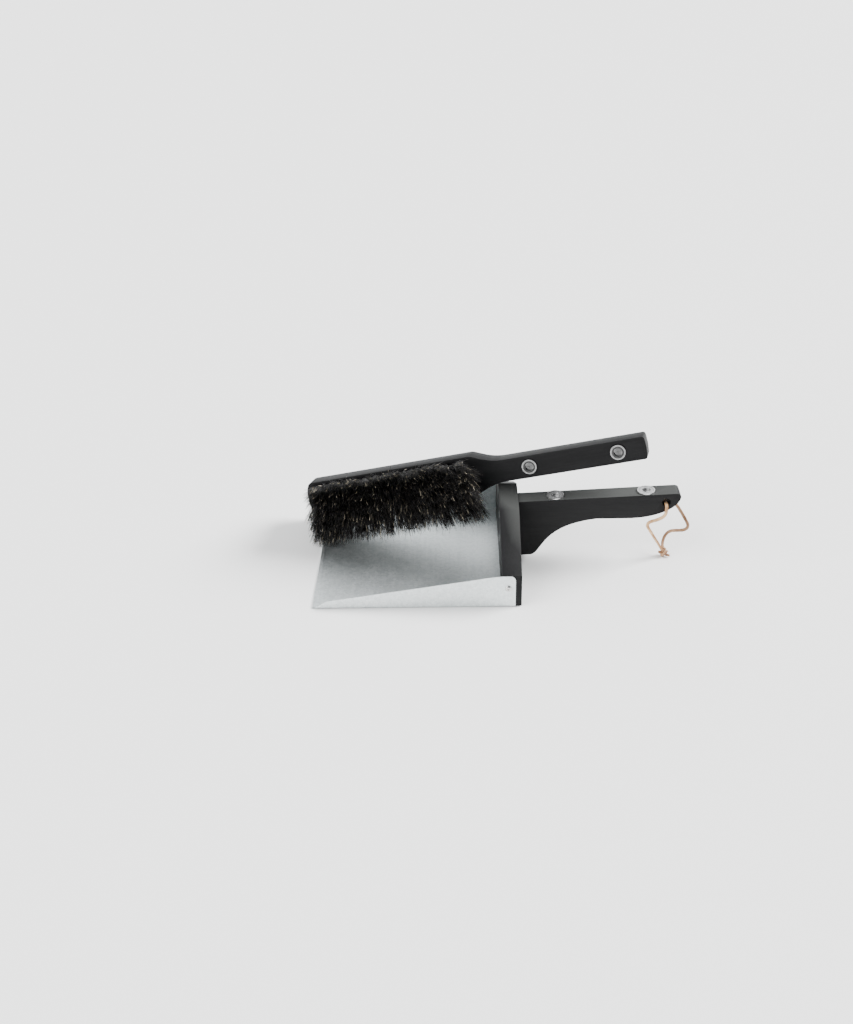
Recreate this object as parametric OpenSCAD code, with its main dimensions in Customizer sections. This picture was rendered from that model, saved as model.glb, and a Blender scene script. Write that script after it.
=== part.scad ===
// Dustpan and hand brush. The pan is a folded sheet-steel tray on a wooden backboard
// with a bracket handle; the brush lies across it, its handle over the board's top.
// X runs from the mouth to the handle, Y across the pan, Z up from the table.
// The origin is under the tray, on its centre line, below the board's front face.

/* [Tray] */
// Outside width of the tray
pan_width = 200; // [160:1:240]
// Depth of the tray, from its mouth to the board
pan_depth = 195; // [160:1:240]
// Thickness of the sheet steel
sheet = 0.8; // [0.6:0.1:1.2]
// Height of the side walls at the board
wall_rear = 36.5; // [30:0.5:44]
// Height at which a side wall stops rising steeply, near the mouth
wall_tip = 8.6; // [5:0.2:12]
// Length of the steep rise at the mouth
tip_run = 12; // [8:1:20]
// Length of sheet that laps the ends and the underside of the board
lap = 13.6; // [11:0.2:16]
// Width of the folded hem along the mouth
hem_width = 4; // [3:0.5:7]

/* [Backboard] */
// Thickness of the board
board_thick = 20; // [16:1:25]
// Height of the board in the middle
board_top = 73; // [66:1:88]
// Height of the board at its two ends
board_end = 36.5; // [34:0.5:44]
// Length of the level part of the top edge
board_flat = 57; // [44:1:70]

/* [Pan handle] */
// Thickness of the handle
grip_thick = 20; // [19:1:25]
// Length of the handle behind the board
grip_length = 171; // [160:1:210]
// Depth of the grip below its top edge
grip_depth = 27; // [24:1:32]
// Depth of the handle's foot where it meets the board
foot_depth = 66; // [58:1:66]
// Height of the handle's top edge at the board
grip_top = 71.5; // [68:0.5:78]
// Rise of the grip, in degrees
grip_rise = 2.6; // [0:0.2:5]

/* [Brush] */
// Width of the brush head
head_width = 44; // [40:1:52]
// Length of the head, from its end to its shoulder
head_length = 196; // [165:1:236]
// Width of the brush handle
stick_width = 24.5; // [22:0.5:30]
// Thickness of the wooden body
body_thick = 20; // [17:1:24]
// Distance from the head's shoulder to the first magnet
shoulder_to_magnet = 62; // [52:1:74]
// Wood behind the last magnet
stick_end = 30; // [27:1:40]
// Free length of the bristles
bristle_length = 48; // [40:1:50]
// Number of tufts in a row
tufts_per_row = 24; // [16:1:26]

/* [Brush at rest] */
// Turn of the brush across the pan, in degrees
brush_turn = -10.5; // [-13:0.5:-8]
// Backward lean of the bristle face, in degrees
brush_lean = 10.4; // [8:0.2:13]

/* [Magnets] */
// Distance between the two magnets on each handle
magnet_gap = 96; // [80:1:115]
// Diameter of the magnets on the pan handle
pan_magnet_d = 18.6; // [15:0.2:18.6]
// Diameter of the magnets on the brush
brush_magnet_d = 16; // [14:0.5:18]
// Height of every magnet
magnet_h = 5; // [4:0.5:6]
// Height that a magnet stands proud of the wood
magnet_proud = 1.3; // [0.5:0.1:2]

/* [Leather lace] */
// Diameter of the hanging hole
hole_d = 9; // [8:0.5:11]
// Width of the leather lace
lace_d = 2.6; // [2.4:0.1:2.8]

/* [Hidden] */

steel = [0.72, 0.75, 0.76];
black = [0.13, 0.13, 0.13];
zinc = [0.80, 0.81, 0.82];
ferrite = [0.28, 0.28, 0.29];
hair = [0.06, 0.05, 0.05];
leather = [0.72, 0.50, 0.32];

fit = 0.05;              // play between pieces that touch
lift = 0.42;             // play between the brush and what it rests on
past = 1;                // how far a cut runs past the face it opens
fold_r = 1.6;            // outside radius of the sheet's folds
corner_r = 5;            // radius of a wall's rear top corner
board_w = pan_width - 2 * (sheet + fit);
board_chamfer = 1.5;     // clears the inside of the folds

// Handle and magnets
pan_magnet_x = 39.5;     // first magnet, from the board's back face
hole_x = 15.3;           // hanging hole, from the grip's end
hole_drop = 9.9;         // hanging hole, below the grip's top edge
foot_run = 11;           // level underside of the foot
cup_wall = 1.4;
tip_start = 2.5;         // from the tray's front edge to where a wall begins to rise
cup_base = 1.5;
head_rise = 0.6;         // of a magnet's screw head above the cup's floor
magnet_screw_z = magnet_proud - magnet_h + cup_base + head_rise;
ring_gap = 0.3;          // between the ring and the cup
screw_bore = 4.6;        // radius of the ring's bore, round the screw head
screw_r = 1.6;           // small screws
screw_head_r = 3.6;
handle_screw_r = 2.2;
handle_screw_head_r = 4.3;
handle_screw_length = 42;
handle_screw_drops = [20, 50];   // below the grip's top edge, at the board
side_screw_x = 6.2;
side_screw_z = 22.5;
side_screw_length = 14;
floor_screw_x = 7;
floor_screw_pitch = 60;

// Tufts: five rows that fan out from the face
row_pitch = 8;
row_fan = [-24, -16, -8, 0, 7];
lean_range = [4, 27];    // lean of the tufts towards the handle, first and last
row_lean = 3;            // more lean at the head's end, for each row further up
tuft_margin = 10;        // from a head end to its last tuft
hole_depth = 9;
tuft_r = 2;
tuft_tip_r = 3.7;
root_start = 7.4;        // depth of a tuft's root in its hole
collar = 1.5;            // straight part above the face
staple_r = 0.4;
staple_half = 1.7;

// Lace: its points run from the middle of the hole to the knot, on each side
near_route = [
    [176, 0, 66], [176, -5, 66], [176, -11, 66.5], [176, -13.5, 63.5], [175.8, -13.6, 59],
    [174.5, -13.4, 54.8], [171, -13, 51.4], [166, -12.6, 48.8], [161.4, -12.4, 47.2],
    [158.8, -12.2, 45.6], [157.5, -12, 43], [158, -11.8, 40], [160.4, -11.4, 35.6],
    [163, -11, 31], [165.6, -10.6, 26.5], [168.2, -10.1, 22], [170.9, -9.6, 17.5],
    [173.3, -9, 13.2], [175.4, -8.2, 9]];
far_route = [
    [176, 0, 66], [176, 5, 66], [176, 11, 66.5], [178, 13.6, 64.4], [182, 14, 61],
    [186, 13.8, 57.6], [190, 13.2, 53.8], [193.4, 12.4, 49.6], [196.4, 11.4, 45],
    [199.2, 10.2, 40.5], [201.8, 8.8, 36], [203.9, 7.4, 32], [204.2, 6.5, 29],
    [202.6, 6, 26.4], [199.2, 5.7, 25], [194.5, 5.4, 24.8], [190, 5, 25], [185.6, 4.2, 24.8],
    [181.8, 3, 23], [179, 1.4, 19.6], [177.4, -0.6, 15.6], [176.8, -2.8, 11.9], [177.6, -4.8, 8.6]];
knot_at = [177.2, -6.5, 4.9];
knot_size = [6, 5, 4.7];
tail_length = 9;

// ---- Curves -------------------------------------------------------------

function arc(c, r, from, to, steps = 8) =
    [for (i = [0:steps]) let (a = from + (to - from) * i / steps) c + r * [cos(a), sin(a)]];

function bezier(p, steps = 10) =
    [for (i = [0:steps]) let (t = i / steps, s = 1 - t)
        s^3 * p[0] + 3 * s^2 * t * p[1] + 3 * s * t^2 * p[2] + t^3 * p[3]];

function unit(v) = v / norm(v);

// ---- Tray -----------------------------------------------------------------

// Half of the sheet's cross-section, from the centre line out and up: across, height
function sheet_half(h) = concat(
    [[0, 0]],
    arc([pan_width / 2 - fold_r, fold_r], fold_r, -90, 0),
    [[pan_width / 2, h], [pan_width / 2 - sheet, h]],
    arc([pan_width / 2 - fold_r, fold_r], fold_r - sheet, 0, -90),
    [[0, sheet]]);

module sheet_section() {
    polygon(sheet_half(wall_rear + past));
    mirror([1, 0]) polygon(sheet_half(wall_rear + past));
}

// Side view of the tray: the walls rise fast from the mouth, then evenly to the board
module wall_outline() {
    polygon(concat(
        [[-pan_depth, 0], [-pan_depth, sheet], [-pan_depth + tip_start, sheet],
         [-pan_depth + tip_start + tip_run, wall_tip]],
        bezier([[-30, wall_rear - 4], [-18, wall_rear - 2], [-10, wall_rear - 0.4],
                [0, wall_rear]]),
        arc([lap - corner_r, wall_rear - corner_r], corner_r, 90, 0),
        [[lap, 0]]));
}

module screw_place(side) {
    translate([side_screw_x, side * pan_width / 2, side_screw_z])
        rotate([-90 * side, 0, 0]) children();
}

module pan_sheet() color(steel) difference() {
    union() {
        intersection() {
            translate([-pan_depth, 0, 0]) rotate([90, 0, 90])
                linear_extrude(pan_depth + lap) sheet_section();
            translate([0, pan_width, 0]) rotate([90, 0, 0])
                linear_extrude(2 * pan_width) wall_outline();
        }
        // the hem: the sheet's front edge turned back on itself
        translate([-pan_depth, -pan_width / 2 + fold_r, sheet])
            cube([hem_width, pan_width - 2 * fold_r, sheet * 0.75]);
    }
    for (side = [-1, 1]) screw_place(side)
        cylinder(r = screw_r + fit, h = 4 * sheet, center = true, $fn = 24);
    for (i = [-1:1]) translate([floor_screw_x, i * floor_screw_pitch, 0])
        countersunk_hole(screw_r, screw_head_r);
}

// ---- Screws ---------------------------------------------------------------

// A countersunk screw points down, its flat head's face at z = 0
module countersunk_screw(r, head_r, length, drive = 1.9) {
    head_h = head_r - r;
    difference() {
        union() {
            translate([0, 0, -head_h]) cylinder(r1 = r, r2 = head_r, h = head_h, $fn = 32);
            translate([0, 0, -length + r]) cylinder(r = r, h = length - r - head_h, $fn = 24);
            translate([0, 0, -length]) cylinder(r1 = 0.3, r2 = r, h = r, $fn = 24);
        }
        cross_recess(drive);
    }
}

module cross_recess(reach) {
    for (a = [0, 90]) rotate(a)
        translate([-reach, -0.4, -1.1]) cube([2 * reach, 0.8, past + 1.1]);
}

// The hole for a countersunk screw that enters from z = 0 and points up
module countersunk_hole(r, head_r, length = 30) {
    head_h = head_r - r;
    translate([0, 0, -past]) cylinder(r = r + fit, h = length + past, $fn = 24);
    translate([0, 0, -fit]) cylinder(r1 = head_r + 2 * fit, r2 = r + fit, h = head_h + fit, $fn = 32);
    translate([0, 0, -past]) cylinder(r = head_r + 2 * fit, h = past, $fn = 32);
}

module pan_head_screw(length) {
    head_r = 3.3;
    head_h = 1.9;
    difference() {
        union() {
            rotate_extrude($fn = 48) polygon(concat(
                [[0, 0], [head_r, 0], [head_r, 0.6]],
                bezier([[head_r, 0.6], [head_r - 0.2, 1.4], [2, head_h], [0, head_h]], 8)));
            translate([0, 0, -length]) cylinder(r = screw_r, h = length, $fn = 24);
        }
        translate([0, 0, head_h]) cross_recess(1.5);
    }
}

module handle_screw_places() {
    for (drop = handle_screw_drops) translate([0, 0, grip_top - drop])
        rotate([0, 90, 0]) children();
}

module handle_screws() color(zinc) handle_screw_places()
    rotate([180, 0, 0]) countersunk_screw(handle_screw_r, handle_screw_head_r, handle_screw_length, 2.6);

module side_screw(side) color(zinc) screw_place(side) rotate([0, 0, 20])
    pan_head_screw(side_screw_length);

module floor_screws() color(zinc)
    for (i = [-1:1]) translate([floor_screw_x, i * floor_screw_pitch, 0])
        rotate([180, 0, 15 * i]) countersunk_screw(screw_r, screw_head_r, side_screw_length);

// ---- Backboard ------------------------------------------------------------

module board_outline() polygon([
    [-board_w / 2 + board_chamfer, 0], [board_w / 2 - board_chamfer, 0],
    [board_w / 2, board_chamfer], [board_w / 2, board_end],
    [board_flat / 2, board_top], [-board_flat / 2, board_top],
    [-board_w / 2, board_end], [-board_w / 2, board_chamfer]]);

module backboard() color(black) difference() {
    rotate([90, 0, 90]) linear_extrude(board_thick) board_outline();
    // the sheet lies in a shallow rebate under the board
    translate([-past, -pan_width, -past])
        cube([lap + fit + past, 2 * pan_width, sheet + fit + past]);
    handle_screw_places() countersunk_hole(handle_screw_r, handle_screw_head_r);
    for (side = [-1, 1]) screw_place(side)
        translate([0, 0, -side_screw_length - 1]) cylinder(r = screw_r + fit, h = side_screw_length + 1 + past, $fn = 24);
    for (i = [-1:1]) translate([floor_screw_x, i * floor_screw_pitch, 0])
        countersunk_hole(screw_r, screw_head_r, side_screw_length + 1);
}

// ---- Pan handle -----------------------------------------------------------

module at_grip() translate([board_thick, 0, grip_top]) rotate([0, -grip_rise, 0]) children();

// Side view: a deep foot at the board, an S-curve, a level grip and a round nose
module grip_outline() {
    e = grip_length;
    d = grip_depth;
    polygon(concat(
        [[-8, 0], [-8, -foot_depth]],
        bezier([[foot_run, -foot_depth], [foot_run + 13, -foot_depth + 2],
                [foot_run + 11, -d - 3], [82, -d + 1.7]], 14),
        bezier([[e - 51, -d], [e - 25, -d], [e - 3, -d + 9], [e, -5]], 12),
        bezier([[e, -4.8], [e + 0.3, -1.4], [e - 2, 0], [e - 6, 0]], 6)));
}

module pan_handle() color(black) difference() {
    at_grip() translate([0, grip_thick / 2, 0]) rotate([90, 0, 0])
        linear_extrude(grip_thick) grip_outline();
    // the foot is cut square, to stand against the board
    translate([-2 * board_thick, -grip_thick, -past])
        cube([3 * board_thick + fit, 2 * grip_thick, 2 * board_top]);
    handle_screw_places() cylinder(r = handle_screw_r + fit, h = handle_screw_length + 1, $fn = 24);
    at_grip() {
        for (i = [0, 1]) translate([pan_magnet_x + i * magnet_gap, 0, 0]) magnet_pocket(pan_magnet_d);
        translate([grip_length - hole_x, 0, -hole_drop]) rotate([90, 0, 0])
            cylinder(d = hole_d, h = 2 * grip_thick, center = true, $fn = 48);
    }
}

// ---- Magnets: a steel cup, a ring in it and the screw through both --------

module magnet_pocket(d) {
    translate([0, 0, magnet_proud - magnet_h - fit]) cylinder(d = d + 4 * fit, h = magnet_h + past, $fn = 48);
    translate([0, 0, magnet_screw_z - side_screw_length - 1])
        cylinder(r = screw_r + fit, h = side_screw_length + 1, $fn = 24);
}

module magnet_cup(d) color(zinc) translate([0, 0, magnet_proud - magnet_h]) difference() {
    cylinder(d = d, h = magnet_h, $fn = 64);
    translate([0, 0, cup_base]) cylinder(r = d / 2 - cup_wall, h = magnet_h, $fn = 64);
    rotate([180, 0, 0]) translate([0, 0, -cup_base - head_rise]) countersunk_hole(screw_r, screw_head_r, 10);
}

module magnet_ring(d) color(ferrite) translate([0, 0, magnet_proud - magnet_h + cup_base + fit])
    difference() {
        cylinder(r = d / 2 - cup_wall - ring_gap, h = magnet_h - cup_base - 0.3, $fn = 64);
        translate([0, 0, -past]) cylinder(r = screw_bore, h = 2 * magnet_h, $fn = 48);
    }

module magnet_screw() color(zinc) translate([0, 0, magnet_screw_z])
    countersunk_screw(screw_r, screw_head_r, side_screw_length);

module pan_magnet(i) at_grip() translate([pan_magnet_x + i * magnet_gap, 0, 0]) children();

module brush_magnet(i) at_brush() translate([i * magnet_gap, 0, 0]) children();

// ---- Brush ----------------------------------------------------------------
// In its own frame the brush lies along X with its first magnet at the origin and its
// bristles pointing up. Y is across the head.

head_end = -shoulder_to_magnet - head_length;
blend_slope = 24;        // slope of the shoulder, in degrees
blend_r = 60;            // radius between the shoulder and the stick
end_bow = 3;             // bow of the head's end
slope_run = (head_width - stick_width) / 2 / tan(blend_slope);
blend_x = -shoulder_to_magnet + slope_run;
blend_t = blend_r * tan(blend_slope / 2);

function half_outline() = let (
    h = head_width / 2, s = stick_width / 2, e = magnet_gap + stick_end) concat(
    bezier([[head_end, 0], [head_end, h * 0.45], [head_end + 1, h - 7], [head_end + end_bow, h - 4]], 8),
    bezier([[head_end + end_bow + 0.3, h - 3.3], [head_end + end_bow + 1.2, h - 1],
            [head_end + 6, h], [head_end + 9, h]], 5),
    [[-shoulder_to_magnet - 1.5, h], [-shoulder_to_magnet + 0.8, h - 0.6]],
    arc([blend_x + blend_t, s + blend_r], blend_r, 270 - blend_slope, 270, 6),
    [[e - 4.5, s]],
    bezier([[e - 3.5, s], [e - 1.4, s], [e - 0.6, s - 1.6], [e - 0.5, s - 3.5]], 5),
    [[e, 0]]);

// Half the width of the stick at x, where the shoulder's curve runs into it
function stick_half(x) = let (in_curve = max(0, blend_x + blend_t - x))
    stick_width / 2 + blend_r - sqrt(blend_r^2 - in_curve^2);

function flip(points) = [for (i = [len(points) - 2:-1:1]) [points[i][0], -points[i][1]]];

// At rest the stick lies on the board's far top corner and the head's low corner
// just clears the tray, which sets the slope of the brush
rest_x = -38;            // along the stick, where it crosses the board
rest_y = -stick_half(rest_x);
rest_z = -1.5;
floor_gap = 5;         // height of the head's lowest corner
corner = [0, board_flat / 2, board_top + lift];
low_corner = [head_end, -head_width / 2, -body_thick];
drop = low_corner - [rest_x, rest_y, rest_z];
drop_across = drop[1] * cos(brush_lean) + drop[2] * sin(brush_lean);
brush_slope = asin((corner[2] - floor_gap) / norm([drop[0], drop_across]))
    + atan2(drop_across, -drop[0]);

module at_brush() translate(corner)
    rotate([90 - brush_lean, -brush_slope, brush_turn])
        translate(-[rest_x, rest_y, rest_z]) children();

tuft_pitch = (head_length - 2 * tuft_margin) / (tufts_per_row - 1);

module tuft_place(row, i) {
    across = (row - 2) * row_pitch;
    first = lean_range[0] + row_lean * row;
    lean = first + (lean_range[1] - first) * i / (tufts_per_row - 1);
    translate([head_end + tuft_margin + i * tuft_pitch, across, 0])
        rotate([-row_fan[row], lean, 0]) children();
}

module brush_body() color(black) at_brush() difference() {
    translate([0, 0, -body_thick]) linear_extrude(body_thick)
        polygon(concat(half_outline(), flip(half_outline())));
    for (i = [0, 1]) translate([i * magnet_gap, 0, 0]) magnet_pocket(brush_magnet_d);
    for (row = [0:4], i = [0:tufts_per_row - 1]) tuft_place(row, i)
        translate([0, 0, -hole_depth]) cylinder(r = tuft_r + fit, h = hole_depth + 2, $fn = 16);
}

module tuft_row(row) color(hair) at_brush()
    for (i = [0:tufts_per_row - 1]) tuft_place(row, i) {
        translate([0, 0, -root_start]) cylinder(r = tuft_r, h = root_start + collar, $fn = 16);
        translate([0, 0, collar])
            cylinder(r1 = tuft_r, r2 = tuft_tip_r, h = bristle_length - collar, $fn = 16);
    }

module tuft_staples() color(zinc) at_brush()
    for (row = [0:4], i = [0:tufts_per_row - 1]) tuft_place(row, i)
        translate([0, staple_half, -hole_depth + staple_r + 0.3]) rotate([90, 0, 0])
            cylinder(r = staple_r, h = 2 * staple_half, $fn = 16);

// ---- Leather lace -----------------------------------------------------------

// A ring of eight points round each point of the route, square to its direction
function heading(p, i) = unit(p[min(i + 1, len(p) - 1)] - p[max(i - 1, 0)]);

function ring(p, i, r) = let (
    t = heading(p, i), side = unit(cross(t, [0.3, 0.2, 1])), up = cross(side, t))
    [for (k = [0:7]) p[i] + r * (cos(45 * k) * side + sin(45 * k) * up)];

module tube(p, r) {
    n = len(p);
    polyhedron(
        [for (i = [0:n - 1]) each ring(p, i, r)],
        concat(
            [[for (k = [0:7]) k]],
            [for (i = [0:n - 2], k = [0:7]) let (a = 8 * i + k, b = 8 * i + (k + 1) % 8)
                each [[a, a + 8, b + 8], [a, b + 8, b]]],
            [[for (k = [7:-1:0]) 8 * (n - 1) + k]]));
}

module lace_near() color(leather) tube(near_route, lace_d / 2);
module lace_far() color(leather) tube(far_route, lace_d / 2);

module lace_knot() color(leather) union() {
    translate(knot_at) scale(knot_size) sphere(r = 1, $fn = 20);
    for (turn = [-25, 40]) translate([knot_at[0], knot_at[1], lace_d / 2 + 0.3])
        rotate([0, 90, turn]) cylinder(d = lace_d, h = tail_length, $fn = 16);
}

// ---- The set ----------------------------------------------------------------

pan_sheet();
backboard();
pan_handle();
handle_screws();
side_screw(-1);  // side_screw_near
side_screw(1);  // side_screw_far
floor_screws();
pan_magnet(0) magnet_cup(pan_magnet_d);  // pan_magnet_cup_front
pan_magnet(0) magnet_ring(pan_magnet_d);  // pan_magnet_ring_front
pan_magnet(0) magnet_screw();  // pan_magnet_screw_front
pan_magnet(1) magnet_cup(pan_magnet_d);  // pan_magnet_cup_rear
pan_magnet(1) magnet_ring(pan_magnet_d);  // pan_magnet_ring_rear
pan_magnet(1) magnet_screw();  // pan_magnet_screw_rear
brush_body();
tuft_row(0);  // tuft_row_1
tuft_row(1);  // tuft_row_2
tuft_row(2);  // tuft_row_3
tuft_row(3);  // tuft_row_4
tuft_row(4);  // tuft_row_5
tuft_staples();
brush_magnet(0) magnet_cup(brush_magnet_d);  // brush_magnet_cup_front
brush_magnet(0) magnet_ring(brush_magnet_d);  // brush_magnet_ring_front
brush_magnet(0) magnet_screw();  // brush_magnet_screw_front
brush_magnet(1) magnet_cup(brush_magnet_d);  // brush_magnet_cup_rear
brush_magnet(1) magnet_ring(brush_magnet_d);  // brush_magnet_ring_rear
brush_magnet(1) magnet_screw();  // brush_magnet_screw_rear
lace_near();
lace_far();
lace_knot();
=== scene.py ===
# %% [markdown]
# # A dustpan and its brush
#
# The set is a folded tray of galvanised steel on a black wooden backboard, with a bracket
# handle behind it. A wooden hand brush lies across the tray, and its handle rests on the
# top of the board. Two pot magnets in each handle let the brush dock under the pan, and
# a leather lace through the end of the pan's handle hangs both on a hook.
#
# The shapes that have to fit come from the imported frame. This notebook gives them
# softened edges, real hair, a real lace and real finishes.

import math

import bmesh
import bpy
import numpy as np
from mathutils import Matrix, Vector


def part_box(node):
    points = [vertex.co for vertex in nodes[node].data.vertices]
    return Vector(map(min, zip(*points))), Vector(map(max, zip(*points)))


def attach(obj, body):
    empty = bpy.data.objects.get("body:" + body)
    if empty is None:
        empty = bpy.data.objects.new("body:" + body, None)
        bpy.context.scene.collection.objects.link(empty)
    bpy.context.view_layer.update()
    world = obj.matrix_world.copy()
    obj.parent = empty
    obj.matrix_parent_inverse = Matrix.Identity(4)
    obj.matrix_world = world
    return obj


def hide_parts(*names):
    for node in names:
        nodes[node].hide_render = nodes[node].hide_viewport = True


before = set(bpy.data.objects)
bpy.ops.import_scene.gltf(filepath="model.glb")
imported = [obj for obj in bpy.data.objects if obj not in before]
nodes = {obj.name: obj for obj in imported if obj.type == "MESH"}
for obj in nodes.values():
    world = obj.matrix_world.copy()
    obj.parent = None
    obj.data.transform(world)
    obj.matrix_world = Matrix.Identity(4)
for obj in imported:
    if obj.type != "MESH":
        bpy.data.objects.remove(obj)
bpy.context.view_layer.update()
MM = 0.001
print(len(nodes), "pieces in the frame")

# %% [markdown]
# ## Camera
#
# The set stands on a table and is seen from the tray's near side, looking down about 30
# degrees. From over a metre away the tray's edges stay nearly parallel, as in a catalogue.
# The camera is turned by three plain angles:
# first its tilt to the side, then how far it looks down, then where it faces.

# %% Camera
CAMERA_PLACE = (-0.0433, -1.1415, 0.7246)
LOOKS_DOWN = 30.38      # degrees below the horizon
FACES_LEFT = 1.73       # degrees to the left of straight ahead
TILTS = -1.62           # degrees, anticlockwise
LENS = 43.39            # millimetres, on a 36 mm frame

camera = bpy.data.objects.new("camera", bpy.data.cameras.new("camera"))
bpy.context.scene.collection.objects.link(camera)
bpy.context.scene.camera = camera
camera.data.sensor_width = 36
camera.data.lens = LENS
camera.matrix_world = (
    Matrix.Translation(CAMERA_PLACE)
    @ Matrix.Rotation(math.radians(FACES_LEFT), 4, "Z")
    @ Matrix.Rotation(math.radians(90 - LOOKS_DOWN), 4, "X")
    @ Matrix.Rotation(math.radians(TILTS), 4, "Z"))
print("the camera is", round(camera.location.length, 2), "m from the tray")

# %% [markdown]
# ## Helpers for meshes
#
# Most pieces here are built as lists of points and faces. One helper turns those into an
# object, lets it ride on its body and says which frame pieces it stands for.


# %% Make a piece
def new_piece(name, points, faces, body, stands_for=()):
    """A mesh object in the frame's own coordinates, riding on a body."""
    mesh = bpy.data.meshes.new(name)
    mesh.from_pydata([tuple(p) for p in points], [], [tuple(f) for f in faces])
    mesh.validate()
    mesh.polygons.foreach_set("use_smooth", [True] * len(mesh.polygons))
    mesh.update()
    piece = bpy.data.objects.new(name, mesh)
    bpy.context.scene.collection.objects.link(piece)
    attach(piece, body)
    if stands_for:
        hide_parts(*stands_for)
    return piece


def smooth_line(points, steps):
    """A Catmull-Rom curve through the points, with steps short pieces in each span."""
    p = np.array(points, float)
    p = np.vstack([2 * p[0] - p[1], p, 2 * p[-1] - p[-2]])
    line = []
    for i in range(1, len(p) - 2):
        a, b, c, d = p[i - 1:i + 3]
        for t in np.arange(steps) / steps:
            line.append(0.5 * (2 * b + (c - a) * t + (2 * a - 5 * b + 4 * c - d) * t**2
                               + (3 * b - a - 3 * c + d) * t**3))
    return np.array(line + [p[-2]])


def line_length(line):
    return float(np.linalg.norm(np.diff(line, axis=0), axis=1).sum())


# %% [markdown]
# A lace, a knot and a hair are all a cross-section swept along a line. At each point the
# section stands square to the line. To stop it spinning, each section's first direction is
# the one before it, laid flat into the new section.


# %% Sweep a section along a line
def sweep(line, section, first_side=(0, 1, 0), sizes=None, twist=0.0):
    """Points and faces of a closed tube. The section is a list of (across, up) points."""
    line = np.asarray(line, float)
    ahead = np.gradient(line, axis=0)
    ahead /= np.linalg.norm(ahead, axis=1)[:, None]
    side = np.array(first_side, float)
    count, around = len(line), len(section)
    points = []
    for i in range(count):
        side = side - ahead[i] * side.dot(ahead[i])
        side /= np.linalg.norm(side)
        up = np.cross(ahead[i], side)
        turn = twist * i / (count - 1)
        a = side * math.cos(turn) + up * math.sin(turn)
        b = up * math.cos(turn) - side * math.sin(turn)
        size = 1.0 if sizes is None else sizes[i]
        points += [line[i] + size * (x * a + y * b) for x, y in section]
    faces = [tuple(range(around))[::-1], tuple(range((count - 1) * around, count * around))]
    for i in range(count - 1):
        for k in range(around):
            n = (k + 1) % around
            faces.append((i * around + k, i * around + n, (i + 1) * around + n, (i + 1) * around + k))
    return points, faces


# %% [markdown]
# ## The leather lace
#
# The lace is one flat strip of tan leather, twice as wide as it is thick. It runs through
# the hole in the handle's end, and an overhand knot joins its two ends on the table. It has a few
# sharp kinks, as if it had been folded: one near the handle's underside, one behind it.
# It is made as two runs that meet in the middle of the hole, because each run is then one
# free cord with a start and a knot at its end.

# %% The two runs of the lace
LACE_WIDTH = 3.3 * MM
LACE_THICKNESS = 1.65 * MM
NEAR_ROUTE = [
    (176, 0, 66), (176, -5, 66), (176, -11, 66.5), (176, -13.5, 63.5), (175.8, -13.6, 59),
    (174.5, -13.4, 54.8), (171, -13, 51.4), (166, -12.6, 48.8), (161.4, -12.4, 47.2),
    (158.8, -12.2, 45.6), (157.5, -12, 43), (158, -11.8, 40), (160.4, -11.4, 35.6),
    (163, -11, 31), (165.6, -10.6, 26.5), (168.2, -10.1, 22), (170.9, -9.6, 17.5),
    (173.3, -9, 13.2), (175.4, -8.2, 9)]
FAR_ROUTE = [
    (176, 0, 66), (176, 5, 66), (176, 11, 66.5), (178, 13.6, 64.4), (182, 14, 61),
    (186, 13.8, 57.6), (190, 13.2, 53.8), (193.4, 12.4, 49.6), (196.4, 11.4, 45),
    (199.2, 10.2, 40.5), (201.8, 8.8, 36), (203.9, 7.4, 32), (204.2, 6.5, 29),
    (202.6, 6, 26.4), (199.2, 5.7, 25), (194.5, 5.4, 24.8), (190, 5, 25), (185.6, 4.2, 24.8),
    (181.8, 3, 23), (179, 1.4, 19.6), (177.4, -0.6, 15.6), (176.8, -2.8, 11.9), (177.6, -4.8, 8.6)]


def strip_section(width, thickness, corner=0.3, steps=3):
    """A rectangle with round corners, for a cut strip."""
    points = []
    r = corner * thickness
    for q in range(4):
        cx = (width / 2 - r) * (1 if q in (0, 3) else -1)
        cy = (thickness / 2 - r) * (1 if q in (0, 1) else -1)
        for k in range(steps + 1):
            a = math.pi / 2 * (q + k / steps)
            points.append((cx + r * math.cos(a), cy + r * math.sin(a)))
    return points


def mark_points(piece, name, values):
    """A number on each point of a mesh, for a finish to read."""
    attribute = piece.data.attributes.new(name, "FLOAT", "POINT")
    attribute.data.foreach_set("value", np.asarray(values, np.float32).ravel())


def mark_edges(piece, section_length):
    """Marks the strip's narrow sides, which are its cut edges."""
    pattern = np.repeat([1, 0, 1, 0], section_length // 4)
    mark_points(piece, "edge", np.resize(np.roll(pattern, -section_length // 8), len(piece.data.vertices)))


def lace_run(name, route, twist):
    line = smooth_line(np.array(route) * MM, 6)
    uneven = 1 + 0.05 * np.sin(np.arange(len(line)) * 0.9) * np.sin(np.arange(len(line)) * 0.23)
    section = strip_section(LACE_WIDTH, LACE_THICKNESS)
    points, faces = sweep(line, section, first_side=(1, 0, 0), sizes=uneven, twist=twist)
    piece = new_piece(name, points, faces, "hanging_loop", stands_for=[name])
    mark_edges(piece, len(section))
    return piece, line


near_run, near_line = lace_run("lace_near", NEAR_ROUTE, 0.9)
far_run, far_line = lace_run("lace_far", FAR_ROUTE, -1.4)
print("lace runs:", round(line_length(near_line), 4), "and", round(line_length(far_line), 4), "m")

# %% [markdown]
# ### The knot
#
# An overhand knot is a trefoil: three lobes that pass over and under each other. The
# curve for it is short to write, and lifting the strand at each crossing by about one lace
# width keeps it clear of itself. The trefoil is opened at one lobe, where it runs up into
# the near lace. A second, smaller loop stands for the other lace, drawn tight round the
# first, and two short tails come out below.


# %% Tie the knot
knot_low = Vector(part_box("lace_knot")[0])


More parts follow.
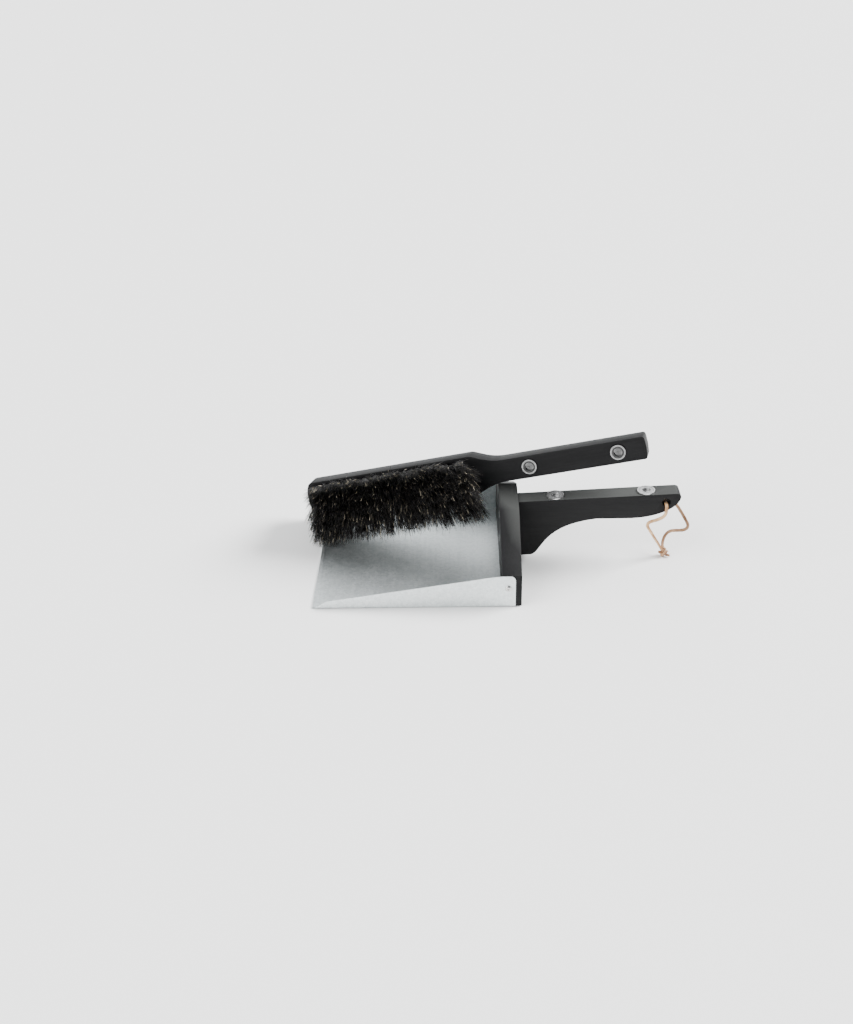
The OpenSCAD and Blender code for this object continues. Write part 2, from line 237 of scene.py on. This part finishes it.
def knot_strand(line, first_side):
    section = strip_section(0.8 * LACE_WIDTH, LACE_THICKNESS)
    points, faces = sweep(line, section, first_side=first_side)
    return points, faces


def join(parts):
    """Several (points, faces) pairs as one."""
    points, faces = [], []
    for more_points, more_faces in parts:
        start = len(points)
        points += list(more_points)
        faces += [tuple(i + start for i in f) for f in more_faces]
    return points, faces


def tie_knot():
    middle = np.array([knot_low.x + 6 * MM, knot_low.y + 5 * MM, 4.75 * MM])
    t = np.linspace(0.35, 2 * math.pi - 0.5, 90)
    trefoil = np.stack([
        (np.sin(t) + 1.9 * np.sin(2 * t)) * 1.42,
        (np.cos(t) - 1.9 * np.cos(2 * t)) * 1.12,
        -np.sin(3 * t) * 1.55 - 0.9], axis=1) * MM + middle
    up_end = near_line[-1]
    first = smooth_line([up_end, (up_end + trefoil[0]) / 2 + (0.6 * MM, 0, 0.3 * MM)], 3)
    strand_a = np.vstack([first, trefoil[2:]])
    t = np.linspace(0.2, 2 * math.pi + 0.5, 60)
    wrap = np.stack([
        np.cos(t) * 2.0 + 0.3,
        np.sin(t) * 3.3,
        np.sin(t + 0.6) * 1.1 + 2.5 * np.cos(t) * 0.6 + 1.3], axis=1) * MM + middle
    strand_b = np.vstack([smooth_line([far_line[-1], (far_line[-1] + wrap[0]) / 2], 3), wrap])
    ends = []
    for turn, rise in ((-25, 0.2), (40, 0.9)):
        out = np.array([math.cos(math.radians(turn)), math.sin(math.radians(turn)), 0])
        root = middle + (0, 0, -2.6 * MM)
        line = [root + out * 3.0 * MM, root + out * 5 * MM + (0, 0, rise * MM),
                root + out * 7.6 * MM + (0, 0, rise * 0.4 * MM)]
        ends.append(sweep(smooth_line(line, 5), strip_section(0.85 * LACE_WIDTH, 0.9 * LACE_THICKNESS),
                          first_side=(0, 0, 1), twist=0.5))
    return join([knot_strand(strand_a, (0, 0, 1)), knot_strand(strand_b, (0, 1, 0)), *ends])


knot = new_piece("lace_knot", *tie_knot(), "hanging_loop", stands_for=["lace_knot"])
mark_edges(knot, 16)

# %% [markdown]
# ## Wooden pieces with softened edges
#
# The board and both handles are sawn from planed wood 20 mm thick, and their sharp edges
# were broken with sandpaper before they were stained. The frame's pieces have the true
# outlines, pockets and holes, but razor edges, which never catch the light. A copy of each
# is cleaned of its flat triangles and given a small bevel, as wide as the closeness of its
# edges allows.


# %% Soften the edges of a copy
def softened(node, body, radius, corner=28):
    source = nodes[node].data
    bm = bmesh.new()
    bm.from_mesh(source)
    bmesh.ops.remove_doubles(bm, verts=bm.verts, dist=0.002 * MM)
    bmesh.ops.dissolve_limit(bm, angle_limit=math.radians(0.6), verts=bm.verts, edges=bm.edges)
    mesh = bpy.data.meshes.new(node + "_wood")
    bm.to_mesh(mesh)
    bm.free()
    piece = bpy.data.objects.new(node + "_wood", mesh)
    bpy.context.scene.collection.objects.link(piece)
    mesh.polygons.foreach_set("use_smooth", [True] * len(mesh.polygons))
    bevel = piece.modifiers.new("bevel", "BEVEL")
    bevel.width = radius
    bevel.segments = 3
    bevel.limit_method = "ANGLE"
    bevel.angle_limit = math.radians(corner)
    bevel.use_clamp_overlap = True
    bevel.harden_normals = True
    graph = bpy.context.evaluated_depsgraph_get()
    made = bpy.data.meshes.new_from_object(piece.evaluated_get(graph))
    piece.modifiers.clear()
    piece.data = made
    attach(piece, body)
    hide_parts(node)
    print(piece.name, len(made.polygons), "faces")
    return piece


EDGE_RADIUS = 0.9 * MM
board = softened("backboard", "dustpan", EDGE_RADIUS)
pan_handle = softened("pan_handle", "dustpan", EDGE_RADIUS)
brush_wood = softened("brush_body", "brush", EDGE_RADIUS)

# %% [markdown]
# ## The brush's own directions
#
# The brush lies tilted, so its tufts point in no simple direction. Its magnets tell which
# way it faces: a screw's tip is deep in the wood, and the ring round its head is at the
# surface. The line from one ring to the other is the line of the stick.


# %% Directions from the magnets
def middle_of(node):
    low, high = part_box(node)
    return (np.array(low) + np.array(high)) / 2


def unit(v):
    return v / np.linalg.norm(v)


brush_along = unit(middle_of("brush_magnet_ring_rear") - middle_of("brush_magnet_ring_front"))
brush_out = unit(middle_of("brush_magnet_ring_front") - middle_of("brush_magnet_screw_front"))
brush_out = unit(brush_out - brush_along * brush_out.dot(brush_along))
brush_across = np.cross(brush_out, brush_along)
print("the bristles point along", np.round(brush_out, 3))

# %% [markdown]
# ## Hair
#
# The brush holds 120 tufts of black horsehair in five rows. Each tuft is a bundle of hair
# folded double under a wire staple and pulled into a drilled hole, so it leaves the wood
# tight and spreads towards its tips. A particle system would be hair only while Blender
# renders it. Here each hair is a real thin tube with three sides, so the hair is part of
# the model wherever the model goes.
#
# The frame holds one plain tapered solid for each tuft. The hair follows those: a loose
# part of the row's mesh is one tuft, and its longest direction is the way the tuft points.


# %% Read the tufts of a row
def tufts_of(node):
    """The root, the tip and the two side directions of each tuft in a row."""
    bm = bmesh.new()
    bm.from_mesh(nodes[node].data)
    bmesh.ops.remove_doubles(bm, verts=bm.verts, dist=0.002 * MM)
    waiting = set(bm.verts)
    found = []
    while waiting:
        part, edge_of_part = [], [waiting.pop()]
        while edge_of_part:
            vert = edge_of_part.pop()
            part.append(vert.co.copy())
            for edge in vert.link_edges:
                other = edge.other_vert(vert)
                if other in waiting:
                    waiting.remove(other)
                    edge_of_part.append(other)
        found.append(np.array(part))
    bm.free()
    tufts = []
    for part in found:
        middle = part.mean(axis=0)
        away = np.linalg.svd(part - middle, full_matrices=False)[2][0]
        away *= np.sign(away.dot(brush_out))
        reach = (part - middle) @ away
        side = unit(brush_along - away * brush_along.dot(away))
        tufts.append((middle + away * reach.min(), middle + away * reach.max(), side, np.cross(away, side)))
    return sorted(tufts, key=lambda tuft: tuft[0].dot(brush_along))


# %% [markdown]
# One hair starts somewhere in its tuft's round root and ends somewhere in the wider tip.
# Hairs cling together in small locks, so each hair is drawn part of the way to one of a
# few locks. It also bows a little, sags by a few millimetres, and is cut at its own length.
# The sag is most in the lowest row. It stays small, so that the hair stays close to
# the frame's tufts, also when the brush is lifted off. Hair that would pass
# through the tray bends and lies along the tray instead.
#
# All of a row's hairs are worked out at once as arrays: hair, point along it, and x, y, z.

# %% Grow the hair
HAIRS_PER_TUFT = 130
HAIR_POINTS = 7
HAIR_RADIUS = 0.19 * MM
ROOT_RADIUS = 1.8 * MM
TIP_RADIUS = 8.5 * MM       # along the brush
TIP_RADIUS_ACROSS = 11.5 * MM
TIP_WANDER = 0.9 * MM       # how far a whole tuft's tip strays
HAIR_REACH = (0.78, 1.03, 1.07)   # shortest, commonest and longest hair, as shares of its tuft
LOCKS_PER_TUFT = 7
LOCK_PULL = 0.36
BOW = 2.4 * MM
SAG_AT_START = 2.0       # millimetres, at the brush's end of the lowest row
SAG_GROWS = 4.0          # millimetres more, at the end by the stick
ROW_SAG = [1.0, 0.72, 0.38, 0.15, 0.05]   # share of it, from the lowest row to the highest
IN_HOLE = 4.0 * MM         # depth in its hole at which a hair starts
LIES_AT = 1.9 * MM         # lowest hair, above the tray's hem
# Share of hairs with a short pale stretch: part pale hair, part painted glint.
PALE_GLINT_SHARE = 0.05
random = np.random.default_rng(7)


def round_spots(count, power=0.5):
    """Random spots in a circle of radius 1."""
    angle = random.uniform(0, 2 * math.pi, count)
    return random.uniform(0, 1, count)[:, None]**power * np.stack([np.cos(angle), np.sin(angle)], axis=1)


def hair_lines(tufts, share):
    """The line of every hair in a row, as an array of hairs by points by 3."""
    t = np.linspace(0, 1, HAIR_POINTS)[None, :, None]
    rows = []
    for place, (root, tip, side, other) in zip(np.linspace(0, 1, len(tufts)), tufts):
        sag = SAG_AT_START + SAG_GROWS * place
        falls = share * np.array([0, sag, -sag]) * MM
        across = np.stack([side, other])
        spread = np.stack([side * TIP_RADIUS, other * TIP_RADIUS_ACROSS])
        tip = tip + random.normal(0, TIP_WANDER, 2) @ across
        root = root + unit(tip - root) * IN_HOLE
        start = round_spots(HAIRS_PER_TUFT) @ across
        locks = round_spots(LOCKS_PER_TUFT, 0.4) @ spread
        lock = random.integers(0, LOCKS_PER_TUFT, HAIRS_PER_TUFT)
        end = (1 - LOCK_PULL) * (start * TIP_RADIUS * 0.6 + 0.5 * round_spots(HAIRS_PER_TUFT) @ spread)
        end += LOCK_PULL * locks[lock]
        reach = random.triangular(*HAIR_REACH, HAIRS_PER_TUFT)[:, None]
        own_bow = random.normal(0, 1, (HAIRS_PER_TUFT, 2)) @ across
        lock_bow = random.normal(0, 1, (LOCKS_PER_TUFT, 2)) @ across
        bow = own_bow + 0.6 * lock_bow[lock]
        foot = root + start * ROOT_RADIUS
        run = (tip - root) * reach + end - start * ROOT_RADIUS
        lines = foot[:, None] + run[:, None] * t + end[:, None] * 0.5 * (t - t**2)
        lines += bow[:, None] * BOW * t**2
        lines += falls * t**1.5
        rows.append(lines)
    return np.concatenate(rows)


def rest_on_tray(lines):
    """Hair below the tray's top is laid on it, and keeps its length by sliding on."""
    lines = lines.copy()
    for i in range(1, HAIR_POINTS):
        step = np.linalg.norm(lines[:, i] - lines[:, i - 1], axis=1)
        lift = LIES_AT + 0.9 * MM * random.random(len(lines)) * (i / HAIR_POINTS)
        low = lines[:, i, 2] < lift
        lines[low, i, 2] = lift[low]
        new = np.linalg.norm(lines[:, i] - lines[:, i - 1], axis=1)
        lines[low, i:, :2] += ((lines[low, i] - lines[low, i - 1])[:, :2]
                               * (step / new - 1).clip(0, 0.4)[low, None])[:, None]
    return lines


# %% Turn hair lines into thin tubes
def hair_tubes(lines, stoutness):
    """Points and faces of a three-sided tube round every line."""
    count = len(lines)
    ahead = np.gradient(lines, axis=1)
    ahead /= np.linalg.norm(ahead, axis=2, keepdims=True)
    side = np.cross(ahead, brush_along + 0.1 * brush_across)
    side /= np.linalg.norm(side, axis=2, keepdims=True)
    up = np.cross(ahead, side)
    own_size = random.uniform(0.75, 1.25, (count, 1))
    thick = HAIR_RADIUS * stoutness * own_size * np.linspace(1, 0.45, HAIR_POINTS)**0.7
    turn = random.uniform(0, 2 * math.pi, count)[:, None] + np.array([0, 2, 4]) * math.pi / 3
    ring = (np.cos(turn)[:, None, :, None] * side[:, :, None]
            + np.sin(turn)[:, None, :, None] * up[:, :, None])
    points = (lines[:, :, None] + ring * thick[:, :, None, None]).reshape(-1, 3)
    at = lambda i, k: i * 3 + k % 3
    pattern = [(at(i, k), at(i, k + 1), at(i + 1, k + 1), at(i + 1, k))
               for i in range(HAIR_POINTS - 1) for k in range(3)]
    starts = np.arange(count)[:, None, None] * HAIR_POINTS * 3
    quads = (np.array(pattern)[None] + starts).reshape(-1, 4)
    last = (HAIR_POINTS - 1) * 3
    caps = (np.array([[0, 2, 1], [last, last + 1, last + 2]])[None] + starts).reshape(-1, 3)
    return points, quads, caps


def hair_row(number):
    node = f"tuft_row_{number}"
    lines = rest_on_tray(hair_lines(tufts_of(node), ROW_SAG[number - 1]))
    # A few hairs, made thicker, get a short pale stretch in their outer half: part pale hair, part painted
    # glint.
    has_pale_glint = (random.random(len(lines)) < PALE_GLINT_SHARE)[:, None]
    from_middle = np.abs(np.linspace(0, 1, HAIR_POINTS) - random.uniform(0.4, 1.05, len(lines))[:, None])
    pale_glint_amount = has_pale_glint * (1.4 - from_middle / 0.16).clip(0, 1)
    points, quads, caps = hair_tubes(lines, 1 + 0.6 * has_pale_glint)
    faces = quads.tolist() + caps.tolist()
    piece = new_piece(f"hair_row_{number}", points, faces, "brush", stands_for=[node])
    mark_points(piece, "pale_glint", np.repeat(pale_glint_amount, 3))
    mark_points(piece, "tone", np.repeat(random.random(len(lines)), HAIR_POINTS * 3))
    return piece


hair_rows = [hair_row(number) for number in range(1, 6)]
print(5 * 24 * HAIRS_PER_TUFT, "hairs,", sum(len(row.data.polygons) for row in hair_rows), "faces")

# %% [markdown]
# ## Writing finishes as sums
#
# A finish is a small network of shader nodes, which is hard to read as a list of links.
# The class Signal wraps the output of a node, so that a finish reads as arithmetic: an
# expression such as 1 - mask * 0.3 adds its own Math nodes. The reflected forms, such as
# __rsub__, serve when the number comes first. Every other kind of node comes from one
# method, which takes its type, its settings and what goes into its sockets.


# %% Signals and finishes
class Signal:
    """A number or colour that varies over a surface: one output socket of a node."""

    def __init__(self, finish, socket):
        self.finish = finish
        self.socket = socket

    def __add__(self, other):
        return self.finish.maths("ADD", self, other)

    def __sub__(self, other):
        return self.finish.maths("SUBTRACT", self, other)

    def __mul__(self, other):
        return self.finish.maths("MULTIPLY", self, other)

    def __pow__(self, other):
        return self.finish.maths("POWER", self, other)

    def __rsub__(self, other):
        return self.finish.maths("SUBTRACT", other, self)

    __radd__ = __add__
    __rmul__ = __mul__


class Finish:
    """A material with one Principled shader, and the record's slot that it belongs to."""

    def __init__(self, name, slot, fixed):
        self.material = bpy.data.materials.new(name)
        self.material.use_nodes = True
        self.tree = self.material.node_tree
        self.shader = self.tree.nodes["Principled BSDF"]
        self.slot = slot
        for socket, value in fixed.items():
            self.feed(self.shader.inputs[socket], value)

    def feed(self, socket, value):
        if isinstance(value, Signal):
            self.tree.links.new(value.socket, socket)
        elif hasattr(value, "__len__") and socket.type == "RGBA":
            socket.default_value = (*value, 1)
        else:
            socket.default_value = value

    def node(self, kind, settings, inputs, output=0):
        made = self.tree.nodes.new("ShaderNode" + kind)
        for name, value in settings.items():
            setattr(made, name, value)
        for name, value in inputs.items():
            self.feed(made.inputs[name], value)
        return Signal(self, made.outputs[output])

    def maths(self, operation, a, b):
        return self.node("Math", {"operation": operation}, {0: a, 1: b})

    def step(self, value, low, high):
        """0 below low, 1 above high, and an even slope between."""
        return self.node("MapRange", {}, {"Value": value, "From Min": low, "From Max": high})

    def mix(self, share, a, b):
        """Colour a where share is 0, colour b where it is 1."""
        return self.node("Mix", {"data_type": "RGBA"}, {0: share, 6: a, 7: b}, output=2)

    def place(self):
        """The point on the piece, in metres, in the frame's coordinates."""
        return self.node("TexCoord", {}, {}, output="Object")

    def noise(self, place, size, detail=2.0, rough=0.5):
        """Soft random patches, about size metres across, from 0 to 1."""
        return self.node("TexNoise", {}, {"Vector": place, "Scale": 1 / size, "Detail": detail,
                                          "Roughness": rough})

    def stretched(self, place, direction, times):
        """The same place, squeezed along a direction, so that patches there grow long."""
        along = self.node("VectorMath", {"operation": "DOT_PRODUCT"}, {0: place, 1: direction},
                          output="Value")
        part = self.node("VectorMath", {"operation": "SCALE"},
                         {0: tuple(direction), "Scale": along * (1 - 1 / times)})
        return self.node("VectorMath", {"operation": "SUBTRACT"}, {0: place, 1: part})

    def bump(self, height, depth):
        """A Normal from a height of 0 to 1, at most depth metres deep."""
        return self.node("Bump", {}, {"Height": height, "Distance": depth, "Strength": 1.0})

    def show(self, **looks):
        for socket, value in looks.items():
            self.feed(self.shader.inputs[socket.replace("_", " ")], value)
        return self


def dress(finish, *pieces):
    """Gives pieces of the model, or named pieces of the frame, a finish."""
    for piece in pieces:
        if isinstance(piece, str):
            for slot in nodes[piece].material_slots:
                slot.material = finish.material
        else:
            piece.data.materials.clear()
            piece.data.materials.append(finish.material)


# %% [markdown]
# ## Black-stained wood
#
# The wood is stained black and matt lacquered. Light catches it softly, and the grain shows
# only as faint long streaks. Each piece was sawn along its length, so the streaks follow
# that piece's own direction: across the pan on the board, along X on the pan's handle, and
# along the stick on the brush. The lacquer fills most of the pores, so the grain's depth
# stays a few hundredths of a millimetre. The faces of the board and of the pan's handle
# that look up, their flat tops, are painted a paler grey: painted light on those tops.


# %% The wood finish
def stained_wood(name, direction, top_gets_painted_light=False):
    wood = Finish(name, "black_wood", {"Specular IOR Level": 0.16})
    place = wood.place()
    fibres = wood.noise(wood.stretched(place, direction, 14), 1.6 * MM, 4, 0.6)
    figure = wood.noise(wood.stretched(place, direction, 6), 14 * MM, 3, 0.55)
    handled = wood.noise(place, 45 * MM, 2, 0.5)
    shade = wood.step(fibres * 0.6 + figure * 0.6, 0.42, 0.82)
    colour = wood.mix(shade, (0.0036, 0.0036, 0.004), (0.0085, 0.0085, 0.009))
    # Painted light: faces that look up are mixed, in patches, towards a paler grey.
    if top_gets_painted_light:
        normal = wood.node("TexCoord", {}, {}, output="Normal")
        painted_top_light = wood.step(wood.node("SeparateXYZ", {}, {"Vector": normal}, output="Z"), 0.93, 0.985)
        colour = wood.mix(painted_top_light * (0.6 + 0.4 * handled), colour, (0.046, 0.048, 0.046))
    rough = 0.47 + 0.10 * fibres + 0.10 * handled
    height = fibres * 0.7 + 0.3 * wood.noise(place, 0.7 * MM, 2)
    return wood.show(Base_Color=colour, Roughness=rough, Normal=wood.bump(height, 0.06 * MM))


dress(stained_wood("stained_wood_board", (0, 1, 0), top_gets_painted_light=True), board)
dress(stained_wood("stained_wood_handle", (1, 0, 0), top_gets_painted_light=True), pan_handle)
dress(stained_wood("stained_wood_brush", tuple(brush_along)), brush_wood)

# %% [markdown]
# ## Galvanised steel
#
# The tray is sheet steel dipped in zinc, of the kind with a very small spangle: from near
# by it has a fine mottle, about a millimetre across, and from afar a soft grey-blue
# shine. Rolling left faint streaks across the sheet. The zinc scatters reflections widely,
# so dark things near it show only as dark clouds in it.


# %% The steel finish
def galvanised():
    steel = Finish("galvanised_steel", "galvanised_steel", {"Metallic": 1.0})
    place = steel.place()
    mottle = steel.noise(place, 1.5 * MM, 3, 0.6)
    cells = steel.node("TexVoronoi", {"feature": "F1"}, {"Vector": place, "Scale": 1 / (2.6 * MM)},
                       output="Color")
    cell = steel.node("SeparateColor", {}, {"Color": cells}, output=0)
    streaks = steel.noise(steel.stretched(place, (0, 1, 0), 20), 3.5 * MM, 3, 0.6)
    clouds = steel.noise(place, 38 * MM, 3, 0.55)
    shade = steel.step(mottle * 0.5 + cell * 0.22 + streaks * 0.28, 0.25, 0.75)
    colour = steel.mix(shade, (0.56, 0.605, 0.61), (0.80, 0.835, 0.835))
    rough = 0.33 + 0.10 * mottle + 0.07 * clouds + 0.04 * cell
    height = mottle * 0.7 + cell * 0.3
    return steel.show(Base_Color=colour, Roughness=rough, Normal=steel.bump(height, 0.035 * MM))


dress(galvanised(), "pan_sheet")


# %% [markdown]
# ## Bright small metal
#
# The screws and the magnets' cups are zinc plated, and the rings are nickel plated. What
# tells them apart from plain steel is the fine rubbing they get from the screwdriver and
# from docking: faint scratches and duller patches. The magnets are alike, but the pan's,
# which face up, are given light tones as painted light, and the brush's, which face the
# viewer, darker tones as painted shade.


# %% Zinc and nickel plate
def plated(name, slot, dull, bright, rough):
    plate = Finish(name, slot, {"Metallic": 1.0})
    place = plate.place()
    patches = plate.noise(place, 2.2 * MM, 3, 0.6)
    rubs = plate.noise(plate.stretched(place, (0.6, 0.64, 0.48), 12), 0.35 * MM, 2, 0.6)
    colour = plate.mix(plate.step(patches, 0.3, 0.7), dull, bright)
    return plate.show(Base_Color=colour, Roughness=rough + 0.14 * patches + 0.08 * rubs,
                      Normal=plate.bump(rubs, 0.012 * MM))


zinc = plated("zinc_plate", "zinc_plate", (0.50, 0.50, 0.49), (0.72, 0.72, 0.70), 0.13)
dress(zinc, "handle_screws", "side_screw_near", "side_screw_far", "floor_screws", "tuft_staples")
# The same magnets in two tones: the pan's lighter ones are painted light, the brush's darker ones painted
# shade.
MAGNET_LIT_AND_SHADED_TONES = (("pan", 0.66, 0.50, 0.60), ("brush", 0.34, 0.075, 0.15))   # rim, ring, screw
for owner, rim, face, head in MAGNET_LIT_AND_SHADED_TONES:
    for part, painted_lighting_tone, rough, slot in (("cup", rim, 0.24, "zinc_plate"), ("ring", face, 0.34, "magnet"),
                                    ("screw", head, 0.22, "zinc_plate")):
        plate = plated(f"{owner}_magnet_{part}", slot, (painted_lighting_tone * 0.72,) * 3, (painted_lighting_tone * 1.2,) * 3, rough)
        dress(plate, f"{owner}_magnet_{part}_front", f"{owner}_magnet_{part}_rear")

# %% [markdown]
# ## Horsehair and leather
#
# Horsehair isn't one black: each hair has its own tone, and a smooth hair gives a narrow
# glint along its length. A few hairs are thicker and have a short pale stretch in their outer
# half, part pale hair and part painted glint. The numbers stored on the points when the hair
# grew say where the pale stretches are and how dark each hair is.
#
# The lace is vegetable-tanned leather. It is light tan, its cut edges are browner, and it
# has a fine grain and darker stretches at random places. The far run and the knot get a
# darker copy of the same leather, which is painted shade.


# %% The hair and leather finishes
def horsehair():
    hair = Finish("horsehair", "bristle", {"Specular IOR Level": 0.3})
    pale_glint = hair.node("Attribute", {"attribute_name": "pale_glint"}, {}, output="Fac")
    tone = hair.node("Attribute", {"attribute_name": "tone"}, {}, output="Fac")
    black = hair.mix(tone**3, (0.0022, 0.0021, 0.0020), (0.017, 0.013, 0.010))
    # The pale stretches on a few hairs: part pale hair, part painted glint.
    colour = hair.mix(pale_glint, black, (0.70, 0.62, 0.47))
    return hair.show(Base_Color=colour, Roughness=0.36 + 0.18 * tone)


def tanned_leather(name, light, dark):
    leather = Finish(name, "leather", {"Specular IOR Level": 0.35})
    place = leather.place()
    edge = leather.node("Attribute", {"attribute_name": "edge"}, {}, output="Fac")
    grain = leather.noise(place, 0.5 * MM, 3, 0.6)
    random_dark_stretches = leather.noise(place, 11 * MM, 2, 0.5)
    face = leather.mix(leather.step(random_dark_stretches, 0.38, 0.66), light, dark)
    colour = leather.mix(edge * 0.65 + grain * 0.3, face, (0.24, 0.10, 0.035))
    return leather.show(Base_Color=colour, Roughness=0.55 + 0.2 * grain,
                        Normal=leather.bump(grain, 0.05 * MM))


dress(horsehair(), *hair_rows)
# The far run and the knot get the darker copy of the leather: painted shade.
dress(tanned_leather("leather_near_run", (0.76, 0.50, 0.28), (0.38, 0.20, 0.09)), near_run)
dress(tanned_leather("leather_painted_shade", (0.50, 0.31, 0.18), (0.17, 0.09, 0.05)), far_run, knot)

# %% [markdown]
# ## The table and the light
#
# The set stands on a plain white floor. A sky brightens from dim in front to a pale wall of
# light at the back, which shines in the level faces and leaves those towards the viewer
# dark. Two suns with wide discs light the floor evenly: a strong one on the right,
# which throws soft shadows to the left, and a weaker, wider one on the left to fill them.

# %% Floor, sky and sun
FLOOR_REACH = 40.0
floor = bpy.data.objects.new("floor", bpy.data.meshes.new("floor"))
corners = ((-1, -1), (1, -1), (1, 1), (-1, 1))
floor.data.from_pydata([(x * FLOOR_REACH, y * FLOOR_REACH, 0) for x, y in corners], [], [(0, 1, 2, 3)])
floor.location.z = -0.05 * MM
bpy.context.scene.collection.objects.link(floor)
floor_finish = Finish("floor", "", {"Base Color": (0.86, 0.86, 0.855), "Roughness": 0.8})
floor.data.materials.append(floor_finish.material)

FRONT_LIGHT = (0.26, 0.27, 0.28)
BACK_LIGHT = (1.75, 1.78, 1.8)
BACK_WAY = (0.0, 0.89, 0.46)   # towards the middle of the wall of light

world = bpy.data.worlds.new("sky")
bpy.context.scene.world = world
world.use_nodes = True
links = world.node_tree.links
way = world.node_tree.nodes.new("ShaderNodeTexCoord")
facing = world.node_tree.nodes.new("ShaderNodeVectorMath")
facing.operation = "DOT_PRODUCT"
facing.inputs[1].default_value = BACK_WAY
ramp = world.node_tree.nodes.new("ShaderNodeValToRGB")
ramp.color_ramp.interpolation = "EASE"
ramp.color_ramp.elements[0].position = 0.45
ramp.color_ramp.elements[0].color = (*FRONT_LIGHT, 1)
ramp.color_ramp.elements[1].position = 0.85
ramp.color_ramp.elements[1].color = (*BACK_LIGHT, 1)
links.new(way.outputs["Generated"], facing.inputs[0])
links.new(facing.outputs["Value"], ramp.inputs["Fac"])
links.new(ramp.outputs["Color"], world.node_tree.nodes["Background"].inputs["Color"])


def soft_light(name, comes_from, energy, width):
    """A sun with a disc width degrees wide, shining from a direction."""
    light = bpy.data.objects.new(name, bpy.data.lights.new(name, "SUN"))
    bpy.context.scene.collection.objects.link(light)
    light.data.energy = energy
    light.data.angle = math.radians(width)
    light.rotation_euler = Vector(comes_from).to_track_quat("Z", "Y").to_euler()


soft_light("right_light", (0.80, 0.22, 0.56), 10.5, 30)
soft_light("left_light", (-0.75, -0.35, 0.56), 4.8, 60)
